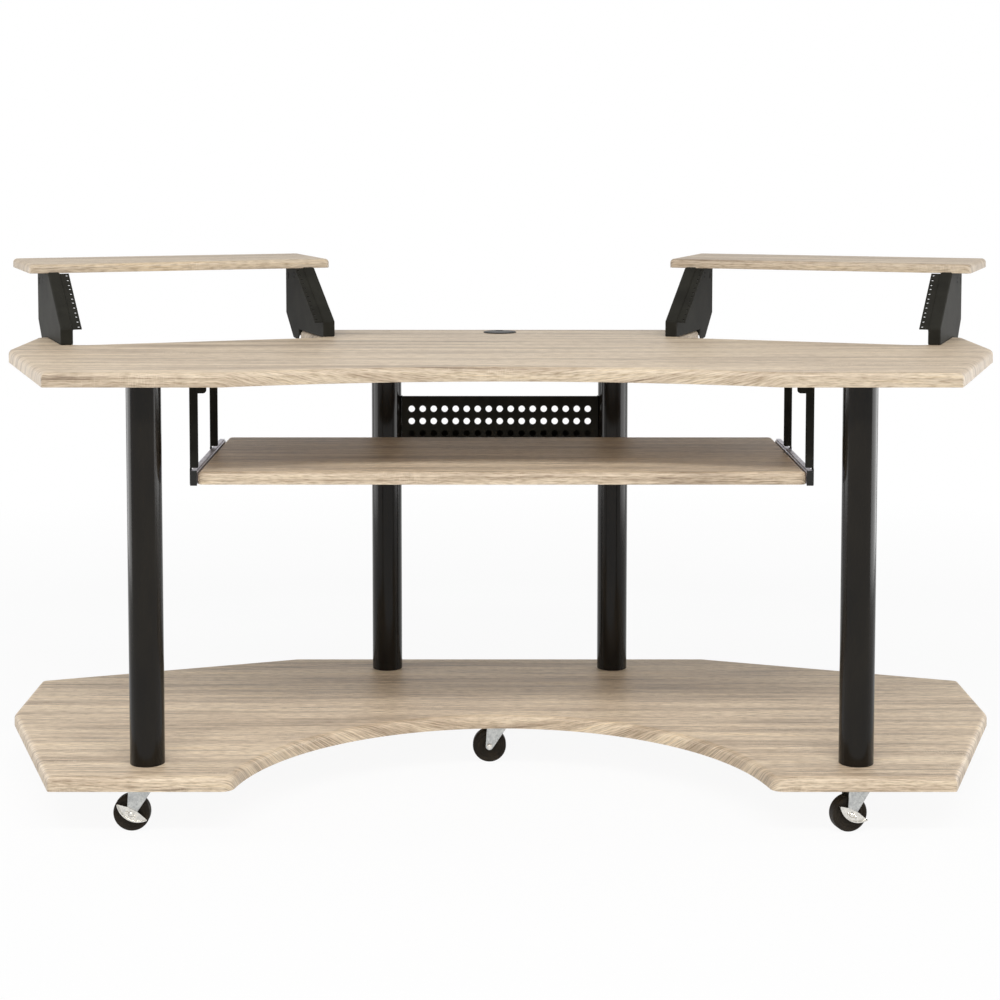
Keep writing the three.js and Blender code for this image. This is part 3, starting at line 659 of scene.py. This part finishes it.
def stand_shell(name, place):
    """A folded channel, open at the back, whose tail hooks down behind the panel's rear edge."""
    hook = bay.seat_depth + tail.hook_gap
    nose = hook + tail.nose_length
    left = -stand.thickness / 2
    profile = [
        (0, 0), (hook, 0), (hook, -tail.nose_drop), (nose, -tail.drop),
        (nose + tail.length, tail.rise - tail.drop), (stand.depth, stand.heel_height),
        (stand.depth, stand.height), (stand.rake, stand.height), (0, stand.foot_height),
    ]
    bm = flat_outline([(left, back, up) for back, up in profile])
    extrude(bm, (stand.thickness, 0, 0))
    open_side = [face for face in bm.faces if abs(face.normal.x) < 0.5
                 and face.calc_center_median().y > hook + on_plane
                 and face.calc_center_median().z < stand.height - on_plane]
    bmesh.ops.delete(bm, geom=open_side, context="FACES_ONLY")
    loose = [edge for edge in bm.edges if not edge.link_faces]
    bmesh.ops.delete(bm, geom=loose, context="EDGES")
    bevel(bm, sharp_edges(bm, least=20), stand.bend, bend_steps)
    face_outwards(bm, Vector((0, -stand.foot_height, stand.height)).normalized())
    bm = give_wall(bm, stand.wall)
    holes = bmesh.new()
    for i in range(stand_holes.count):
        back = stand.depth - stand_holes.forward
        up = stand.height - stand_holes.down - i * stand_holes.spacing
        across = moved(0, back, up) @ turned_by(math.pi / 2, "Y")
        add_pin(holes, stand_holes.radius, 2 * stand.thickness, stand_holes.sides, across)
    slot = moved(0, stand.depth - stand_slot.forward, stand.height - stand_slot.down)
    add_block(holes, (2 * stand.thickness, stand_slot.width, stand_slot.height), slot)
    bm = cut_away(bm, holes)
    make_piece(bm, "stand_shell_" + name, "frame", powder_coat, place, ["stand_" + name])


def rack_rail(name, place, hand):
    """A punched angle. Its face is at Y = 0 and its free edge points to the hand's side of X."""
    length = rack_units * rack_unit.height
    bm = bmesh.new()
    free_edge = bm.verts.new((hand * rail.flange, 0, 0))
    draw_on(bm, free_edge, [(0, 0, 0), (0, rail.side_depth, 0)])
    draw_out(bm, bm.edges[:], (0, 0, length))
    bevel(bm, sharp_edges(bm), rail.bend, rail.bend_steps)
    face_outwards(bm, -along_y)
    bm = give_wall(bm, rail.sheet)
    holes = bmesh.new()
    across = hand * (rail.flange - rail_holes.from_free_edge)
    for unit in range(rack_units):
        for i in range(rack_unit.holes):
            up = unit * rack_unit.height + rack_unit.first_hole + i * rack_unit.hole_pitch
            pin = moved(across, 0, up) @ turned_by(math.pi / 2, "X")
            add_pin(holes, rail_holes.radius, punch_share * rail.sheet, rail_holes.sides, pin)
    bm = cut_away(bm, holes)
    make_piece(bm, "rail_" + name, "frame", powder_coat, place, ["rack_rail_" + name])
    screws = []
    for unit in (1, rack_units - 1):
        head = moved(hand * rail.sheet, rail.side_depth / 2 + rail.sheet, unit * rack_unit.height)
        screws.append(place @ head @ turned_by(hand * math.pi / 2, "Y"))
    add_screws("rail_screws_" + name, "frame", screws)


def wing(name, side):
    wing_frame = wing_place(side)
    slope = math.atan2(stand.height - stand.foot_height, stand.rake)
    rail_back = rail.start * math.cos(slope) + rail.recess * math.sin(slope)
    rail_up = stand.foot_height + rail.start * math.sin(slope) - rail.recess * math.cos(slope)
    for end, hand in (("outer", side), ("inner", -side)):
        wall = hand * bay.clear_width / 2
        stand_shell(f"{name}_{end}", wing_frame @ moved(wall + hand * stand.thickness / 2, 0, 0))
        rail_place = wing_frame @ moved(wall - hand * gap, rail_back, rail_up)
        rack_rail(f"{name}_{end}", rail_place @ turned_by(slope - math.pi / 2, "X"), -hand)
    shelf_board(name, side)


# Keyboard slides and hangers

def channel(name, node, body, finish, hand):
    """A slide's channel, whose open side points to the hand's side of X."""
    low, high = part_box(node)
    web = low.x if hand > 0 else high.x
    lip = high.x if hand > 0 else low.x
    bm = bmesh.new()
    start = bm.verts.new((lip, low.y, low.z))
    draw_on(bm, start, [(web, low.y, low.z), (web, low.y, high.z), (lip, low.y, high.z)])
    draw_out(bm, bm.edges[:], (0, high.y - low.y, 0))
    bevel(bm, sharp_edges(bm), slide.bend, bend_steps)
    face_outwards(bm, -hand * along_x)
    bm = give_wall(bm, slide.sheet)
    make_piece(bm, name, body, finish, nodes=[node])


def slide_cap(name):
    """The black cap on a runner's front end, which hides the channel behind it."""
    low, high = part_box("slide_outer_" + name)
    low_in, high_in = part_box("slide_inner_" + name)
    left = min(low.x, low_in.x)
    right = max(high.x, high_in.x)
    bm = bmesh.new()
    middle = moved((left + right) / 2, low.y - gap - slide.cap / 2, (low.z + high.z) / 2)
    add_block(bm, (right - left, slide.cap, high.z - low.z), middle)
    ease(bm, slide.cap_round, bend_steps)
    make_piece(bm, "slide_cap_" + name, "tray", plastic)


def hanger_leg(slide_name, row, hand):
    """An angle leg with a tab at its top, folded from one sheet."""
    name = f"{slide_name}_{row}"
    low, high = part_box("hanger_" + name)
    length = high.z - low.z
    flange_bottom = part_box("slide_outer_" + slide_name)[1].z - low.z + hanger.flange_lift
    tab_bottom = length - hanger.tab_height
    face = [(0, flange_bottom), (hanger.width, flange_bottom), (hanger.width, tab_bottom),
            (hanger.tab_reach, tab_bottom), (hanger.tab_reach, length), (0, length)]
    bm = flat_outline([(hand * x, 0, z) for x, z in face])
    round_corner(bm, (hand * hanger.tab_reach, 0, tab_bottom), hanger.tab_radius, hanger.tab_steps)
    round_corner(bm, (hand * hanger.width, 0, flange_bottom), hanger.sheet, bend_steps)
    back = (0, hanger.depth, 0)
    outer = [edge for edge in bm.edges if all(abs(vert.co.x) < on_plane for vert in edge.verts)]
    upper = [edge for edge in bm.edges if all(vert.co.z > length - on_plane for vert in edge.verts)]
    draw_out(bm, outer, back)
    draw_out(bm, upper, back)
    bmesh.ops.remove_doubles(bm, verts=bm.verts[:], dist=weld)
    lowest = [edge for edge in bm.edges if all(
        abs(vert.co.x) < on_plane and abs(vert.co.z - flange_bottom) < on_plane for vert in edge.verts)]
    draw_out(bm, lowest, (0, 0, -flange_bottom))
    bevel(bm, sharp_edges(bm), hanger.bend, bend_steps)
    face_outwards(bm, -along_y)
    bm = give_wall(bm, hanger.sheet)
    corner = high.x if hand < 0 else low.x
    place = moved(corner, low.y, low.z)
    make_piece(bm, "leg_" + name, "frame", powder_coat, place, ["hanger_" + name])
    spot = moved(hand * (hanger.tab_reach - hanger.tab_radius), (hanger.depth + hanger.sheet) / 2,
                 length - hanger.sheet)
    add_screws("leg_screw_" + name, "frame", [place @ spot @ turned_by(math.pi, "X")])


def tray_side(name, side):
    channel("slide_channel_" + name, "slide_outer_" + name, "frame", slide_zinc, -side)
    channel("slide_runner_" + name, "slide_inner_" + name, "tray", slide_zinc, side)
    slide_cap(name)
    for row in rows:
        hanger_leg(name, row, -side)


# Cable trough

def cable_trough():
    """A perforated tray folded from one sheet, with a return at each end and a lip at the back."""
    low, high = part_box("cable_trough")
    width = high.x - low.x
    height = high.z - low.z
    bm = bmesh.new()
    top = bm.verts.new((-width / 2, 0, height))
    points = [(0, trough.relief), (0, 0), (trough.depth, 0), (trough.depth, trough.lip)]
    draw_on(bm, top, [(-width / 2, back, up) for back, up in points])
    draw_out(bm, bm.edges[:], (width, 0, 0))
    ends = [edge for edge in bm.edges if edge.is_boundary
            and all(vert.co.y < on_plane and vert.co.z > trough.relief - on_plane for vert in edge.verts)
            and abs(edge.verts[0].co.z - edge.verts[1].co.z) > 2 * trough.relief]
    draw_out(bm, ends, (0, trough.return_depth, 0))
    folds = [edge for edge in sharp_edges(bm) if abs(edge.verts[0].co.x - edge.verts[1].co.x) > on_plane]
    bevel(bm, folds, trough.bend, bend_steps)
    face_outwards(bm, -along_y)
    bm = give_wall(bm, trough.sheet)
    holes = bmesh.new()
    for row in range(perforation.rows):
        for column in range(perforation.columns):
            across = (column - (perforation.columns - 1) / 2) * perforation.column_pitch
            up = height - perforation.first_drop - row * perforation.row_pitch
            pin = moved(across, 0, up) @ turned_by(math.pi / 2, "X")
            add_pin(holes, perforation.radius, punch_share * trough.bend, perforation.sides, pin)
    bm = cut_away(bm, holes)
    place = moved(0, low.y, low.z)
    make_piece(bm, "trough_tray", "frame", powder_coat, place, ["cable_trough"])


# Cable grommet

def grommet_ring(place, bore):
    """The liner, whose ledge inside carries the lid."""
    top = -ledge.drop
    bottom = top - ledge.thickness
    ledge_bore = bore - ledge.width
    bm = bmesh.new()
    turn_round(bm, [
        (bore, -grommet.depth), (grommet.sleeve_radius, -grommet.depth), (grommet.sleeve_radius, gap),
        (grommet.flange_radius, gap), (grommet.flange_radius, grommet.flange_height / 2),
        (grommet.flange_radius - grommet.flange_height / 2, grommet.flange_height),
        (bore, grommet.flange_height), (bore, top), (ledge_bore, top), (ledge_bore, bottom), (bore, bottom),
    ], grommet.sides)
    ease(bm, gap)
    make_piece(bm, "grommet_ring", "frame", plastic, place, ["grommet_liner"])


def grommet_lid(place, radius):
    """A disc with a notch in its rim for the cables."""
    bottom = gap - ledge.drop
    bm = bmesh.new()
    turn_round(bm, [
        (0, bottom), (radius, bottom), (radius, grommet.flange_height), (0, grommet.flange_height),
    ], grommet.sides)
    round_end = bmesh.new()
    notch_middle = moved(0, radius - cable_notch.depth / 2, 0)
    add_pin(round_end, cable_notch.width / 2, through_cut, round_sides, notch_middle)
    bm = cut_away(bm, round_end)
    open_end = bmesh.new()
    add_block(open_end, (cable_notch.width, cable_notch.depth, through_cut), moved(0, radius, 0))
    bm = cut_away(bm, open_end)
    ease(bm, gap)
    make_piece(bm, "grommet_lid", "grommet_cap", plastic, place, ["grommet_cap"])


def cable_grommet():
    place = moved(0, front_edge + grommet.back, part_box("desk_top")[1].z)
    bore = grommet.sleeve_radius - grommet.wall
    grommet_ring(place, bore)
    grommet_lid(place, bore - running_gap)


# Screws

def screw_head():
    """A round head that stands on Z = 0, with a socket in its top."""
    head = small_screw
    bm = bmesh.new()
    floor_level = head.height - head.socket_depth
    socket = [(head.socket_radius, head.height), (head.socket_radius, floor_level), (0, floor_level)]
    outside = head_points(head.radius, head.height, screw_shares)
    turn_round(bm, [(0, 0), *outside, *socket], head.sides)
    return bm


def add_screws(name, body, places):
    head = screw_head()
    bm = bmesh.new()
    for place in places:
        merge_in(bm, head, place)
    head.free()
    make_piece(bm, name, body, polished)


# Casters

crown_top = -plate.thickness - raceway.height - running_gap
crown_bottom = crown_top - crown.height
axle_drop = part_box("caster_plate_centre")[1].z - wheel.radius
leg_inside = wheel.hub_half_width + running_gap
leg_outside = leg_inside + fork.sheet


def caster_plate(name, place):
    along = plate.length / 2
    across = plate.width / 2
    corners = [(-along, -across, 0), (along, -across, 0), (along, across, 0), (-along, across, 0)]
    bm = flat_outline(corners)
    for corner in corners:
        round_corner(bm, corner, plate.corner_radius, plate.corner_steps)
    extrude(bm, (0, 0, -plate.thickness))
    screw_spots = [(x, y) for x in (plate_screw.inset - along, along - plate_screw.inset)
                   for y in (plate_screw.inset - across, across - plate_screw.inset)]
    holes = bmesh.new()
    for x, y in screw_spots:
        hole = moved(x, y, 0)
        add_pin(holes, plate_screw.hole_radius, punch_share * plate.thickness, plate_screw.sides, hole)
    bm = cut_away(bm, holes)
    ease(bm, gap)
    raceway_bottom = -plate.thickness - raceway.height
    head_top = crown_bottom - running_gap
    turn_round(bm, [
        (0, head_top - kingpin.head_height), (kingpin.tip_radius, head_top - kingpin.head_height),
        (kingpin.head_radius, head_top - kingpin.head_height / 2), (kingpin.head_radius, head_top),
        (kingpin.radius, head_top), (kingpin.radius, raceway_bottom),
        (raceway.radius - raceway.height / 2, raceway_bottom),
        (raceway.radius, raceway_bottom + raceway.height / 2), (raceway.radius, -plate.thickness / 2),
        (0, -plate.thickness / 2),
    ], round_sides)
    node = "caster_plate_" + name
    make_piece(bm, "mount_" + name, "frame", fork_zinc, place, [node])
    heads = [place @ moved(x, y, -plate.thickness) @ turned_by(math.pi, "X") for x, y in screw_spots]
    add_screws("mount_screws_" + name, "frame", heads)


def meeting_angle(across, up, hand):
    """Where a straight edge that starts across and up from the axle meets the fork's round end."""
    return math.atan2(up, across) + hand * math.acos(fork.end_radius / math.hypot(across, up))


def fork_leg(near):
    """One side of the fork: it narrows from the crown to a round end about the axle."""
    top = (crown_top + crown_bottom) / 2
    trailing_end = meeting_angle(-fork.heel, top + axle_drop, 1)
    leading_end = meeting_angle(fork.shoulder + fork.trail, top + axle_drop, -1)
    bm = bmesh.new()
    corner = bm.verts.new((fork.shoulder, near, top))
    touch = (fork.end_radius * math.cos(trailing_end) - fork.trail, near,
             fork.end_radius * math.sin(trailing_end) - axle_drop)
    trailing = draw_on(bm, corner, [(-fork.trail - fork.heel, near, top), touch])
    axle_centre = (-fork.trail, near, -axle_drop)
    sweep = math.tau + leading_end - trailing_end
    end = draw_arc(bm, trailing, axle_centre, -sweep, fork.end_steps, along_y)
    bm.edges.new((end, corner))
    bmesh.ops.contextual_create(bm, geom=bm.edges[:])
    extrude(bm, (0, fork.sheet, 0))
    ease(bm, fork.round)
    return bm


def caster_fork(name, body, place):
    bore = kingpin.radius + running_gap
    bm = bmesh.new()
    turn_round(bm, [
        (bore, crown_bottom), (crown.radius, crown_bottom), (crown.radius, crown_top - crown.round),
        (crown.radius - crown.round, crown_top), (bore, crown_top),
    ], round_sides)
    for near in (-leg_outside, leg_inside):
        merge_in(bm, fork_leg(near))
    make_piece(bm, "fork_" + name, body, fork_zinc, place, ["caster_fork_" + name])


def wheel_profile():
    """Half of a wheel's section, from the bore at the hub's face to the middle of the tread."""
    w = wheel
    bore = axle.radius + gap
    web = w.half_width - w.dish
    points = [
        (bore, w.hub_half_width), (w.hub_radius - gap, w.hub_half_width),
        (w.hub_radius, w.hub_half_width - gap), (w.hub_radius, web),
        (w.groove_radius - w.groove_width, w.half_width - gap),
        (w.groove_radius - w.groove_width / 2, w.half_width - w.groove_depth),
        (w.groove_radius + w.groove_width / 2, w.half_width - w.groove_depth),
        (w.groove_radius + w.groove_width, w.half_width - w.groove_lip),
    ]
    for i in range(w.shoulder_steps + 1):
        angle = math.pi / 2 * (1 - i / w.shoulder_steps)
        points.append((w.radius - w.shoulder + w.shoulder * math.cos(angle),
                       w.half_width - w.shoulder + w.shoulder * math.sin(angle)))
    return points


def caster_wheel(name, place):
    half = wheel_profile()
    bm = bmesh.new()
    turn_round(bm, [(radius, -out) for radius, out in half] + half[::-1], wheel.sides)
    bmesh.ops.transform(bm, matrix=turned_by(-math.pi / 2, "X"), verts=bm.verts[:])
    make_piece(bm, "roller_" + name, "wheel_" + name, rubber, place, ["caster_wheel_" + name])


def caster_axle(name, place, has_brake):
    """A riveted axle. On a braked caster its near end stands out further, to carry the lever."""
    far = leg_outside + gap
    near = -far
    near_radius = axle.head_radius
    if has_brake:
        near -= axle.brake_reach
        near_radius = lever_rivet.offset - lever_rivet.radius - gap
    near_head = head_points(near_radius, axle.head_height, axle_shares)[::-1]
    far_head = head_points(axle.head_radius, axle.head_height, axle_shares)
    bm = bmesh.new()
    turn_round(bm, [
        *[(radius, near - up) for radius, up in near_head], (axle.radius, near), (axle.radius, far),
        *[(radius, far + up) for radius, up in far_head],
    ], axle.sides)
    bmesh.ops.transform(bm, matrix=turned_by(-math.pi / 2, "X"), verts=bm.verts[:])
    make_piece(bm, "pin_" + name, "swivel_" + name, polished, place, ["caster_axle_" + name])


def brake_lever(name, place):
    """A two-winged toe lever with a lip turned out along its belly, and two round rivets."""
    sag = lever.tip_rise + lever.belly
    radius = (lever.half_length**2 + sag**2) / (2 * sag)
    centre_up = radius - lever.belly
    tip_angle = math.atan2(lever.tip_rise - centre_up, lever.half_length)
    bm = bmesh.new()
    tip = bm.verts.new((-lever.half_length, 0, lever.tip_rise))
    sweep = math.pi + 2 * tip_angle
    far_tip = draw_arc(bm, tip, (0, 0, centre_up), -sweep, lever.belly_steps, along_y)
    belly = bm.edges[:]
    hub = [(lever.hub_half_width, 0, lever.hub_rise), (-lever.hub_half_width, 0, lever.hub_rise)]
    last = draw_on(bm, far_tip, hub)
    bm.edges.new((last, tip))
    bmesh.ops.contextual_create(bm, geom=bm.edges[:])
    draw_out(bm, belly, (0, -lever.lip, 0))
    for corner in hub:
        round_corner(bm, corner, lever.hub_round, lever.hub_steps)
    bevel(bm, sharp_edges(bm, least=50), lever.bend, bend_steps)
    face_outwards(bm, along_y)
    bm = give_wall(bm, lever.sheet)
    rivet = bmesh.new()
    sunk = -lever_rivet.height / 2
    outside = head_points(lever_rivet.radius, lever_rivet.height, rivet_shares)
    turn_round(rivet, [(0, sunk), (lever_rivet.radius, sunk), *outside], lever_rivet.sides)
    for side in sides.values():
        spot = moved(side * lever_rivet.offset, -lever.sheet, 0) @ turned_by(math.pi / 2, "X")
        merge_in(bm, rivet, spot)
    rivet.free()
    body = "brake_" + name
    make_piece(bm, "toe_lever_" + name, body, polished, place, ["brake_lever_" + name])


def caster(name, turn, has_brake):
    low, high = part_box("caster_plate_" + name)
    mount = moved((low.x + high.x) / 2, (low.y + high.y) / 2, high.z)
    swivel = mount @ turned_by(turn, "Z")
    at_axle = swivel @ moved(-fork.trail, 0, -axle_drop)
    caster_plate(name, mount)
    caster_fork(name, "swivel_" + name, swivel)
    caster_axle(name, at_axle, has_brake)
    caster_wheel(name, at_axle)
    if has_brake:
        brake_lever(name, at_axle @ moved(0, -leg_outside - gap, 0) @ turned_by(lever_tilt, "Y"))


# The whole desk

desk_top()
base_panel()
keyboard_tray()
for row in rows:
    for name in sides:
        post(f"post_{row}_{name}")
for name, side in sides.items():
    wing(name, side)
    tray_side(name, side)
cable_trough()
cable_grommet()
caster("front_left", 0, True)
caster("front_right", turned_caster, True)
for name in ("centre", "rear_left", "rear_right"):
    caster(name, 0, False)
for name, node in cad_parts.items():
    if name.startswith("post_plug"):
        node.data.materials.clear()
        node.data.materials.append(plug_steel)


# Floor, light and camera

floor_reach = 600
floor_whiteness = 0.93
shadow_reach = (1.6, 3.2)
fill_light = 0.26
view = Sizes(place=(-0.0248, -4.0479, 1.1678), lens=76.485, shift_x=0.01255, shift_y=-0.20,
             pitch=math.radians(4.141))


def is_seen(tree):
    """1 on rays from the camera, from gloss or from glass, and 0 on the light that falls on things."""
    rays = tree.nodes.new("ShaderNodeLightPath")
    seen = rays.outputs["Is Camera Ray"]
    for name in ("Is Glossy Ray", "Is Transmission Ray"):
        either = tree.nodes.new("ShaderNodeMath")
        either.operation = "MAXIMUM"
        tree.links.new(seen, either.inputs[0])
        tree.links.new(rays.outputs[name], either.inputs[1])
        seen = either.outputs[0]
    return seen


def white_floor():
    """A pale floor that looks white and keeps a soft shadow."""
    bm = bmesh.new()
    bmesh.ops.create_grid(bm, x_segments=1, y_segments=1, size=floor_reach)
    mesh = bpy.data.meshes.new("floor")
    bm.to_mesh(mesh)
    bm.free()
    floor = bpy.data.objects.new("floor", mesh)
    bpy.context.scene.collection.objects.link(floor)
    paint = Finish("floor_paint", Base_Color=colour(238, 238, 238), Roughness=0.9)
    glow = paint.node("Emission", {"Color": (1, 1, 1, 1), "Strength": 1.0})
    from_desk = paint.node("VectorMath", {0: paint.node("TexCoord").outputs["Object"]}, operation="LENGTH")
    whiteness = paint.spread(from_desk.outputs["Value"], *shadow_reach, floor_whiteness, 1)
    share = paint.node("Math", {0: is_seen(paint.tree), 1: whiteness}, operation="MULTIPLY")
    blend = paint.node("MixShader", {0: share.outputs[0]})
    paint.tree.links.new(paint.shader.outputs[0], blend.inputs[1])
    paint.tree.links.new(glow.outputs[0], blend.inputs[2])
    paint.tree.links.new(blend.outputs[0], paint.tree.nodes["Material Output"].inputs["Surface"])
    mesh.materials.append(paint.material)


def white_surroundings():
    """White where it is seen, and dimmer as a light."""
    world = bpy.data.worlds.new("surroundings")
    world.use_nodes = True
    bpy.context.scene.world = world
    tree = world.node_tree
    background = tree.nodes["Background"]
    background.inputs["Color"].default_value = (1, 1, 1, 1)
    level = tree.nodes.new("ShaderNodeMapRange")
    level.inputs["To Min"].default_value = fill_light
    level.inputs["To Max"].default_value = 1
    tree.links.new(is_seen(tree), level.inputs["Value"])
    tree.links.new(level.outputs["Result"], background.inputs["Strength"])


def soft_lamp(name, place, aim, size, power, only_shines=False):
    """A lamp panel. One that only shines is seen in gloss and throws no light on the rest."""
    lamp = bpy.data.lights.new(name, "AREA")
    lamp.shape = "RECTANGLE"
    lamp.size, lamp.size_y = size
    lamp.energy = power
    holder = bpy.data.objects.new(name, lamp)
    holder.location = place
    holder.rotation_euler = (Vector(aim) - Vector(place)).to_track_quat("-Z", "Y").to_euler()
    holder.visible_camera = False
    holder.visible_diffuse = not only_shines
    bpy.context.scene.collection.objects.link(holder)


def front_camera():
    camera = bpy.data.cameras.new("camera")
    camera.lens = view.lens
    camera.shift_x = view.shift_x
    camera.shift_y = view.shift_y
    holder = bpy.data.objects.new("camera", camera)
    holder.location = view.place
    holder.rotation_euler = (math.pi / 2 - view.pitch, 0, 0)
    bpy.context.scene.collection.objects.link(holder)
    bpy.context.scene.camera = holder


white_floor()
white_surroundings()
soft_lamp("key", (0, -2.6, 3.1), (0, -0.3, 0.6), (3.6, 0.4), 91)
soft_lamp("front", (0, -3.7, 2.4), (0, -0.3, 0.2), (3.8, 1.2), 18)
soft_lamp("side_left", (-2.2, -0.2, 1.9), (-0.8, -0.2, 0.1), (0.8, 1.4), 11)
soft_lamp("side_right", (2.2, -0.2, 1.9), (0.8, -0.2, 0.1), (0.8, 1.4), 8)
soft_lamp("panel_left", (-2.4, 0.35, 0.70), (0, 0.35, 0.70), (1.8, 1.3), 22, only_shines=True)
soft_lamp("panel_right", (2.4, 0.10, 0.70), (0, 0.10, 0.70), (2.2, 1.3), 38, only_shines=True)
front_camera()
bpy.context.scene.view_settings.view_transform = "Standard"
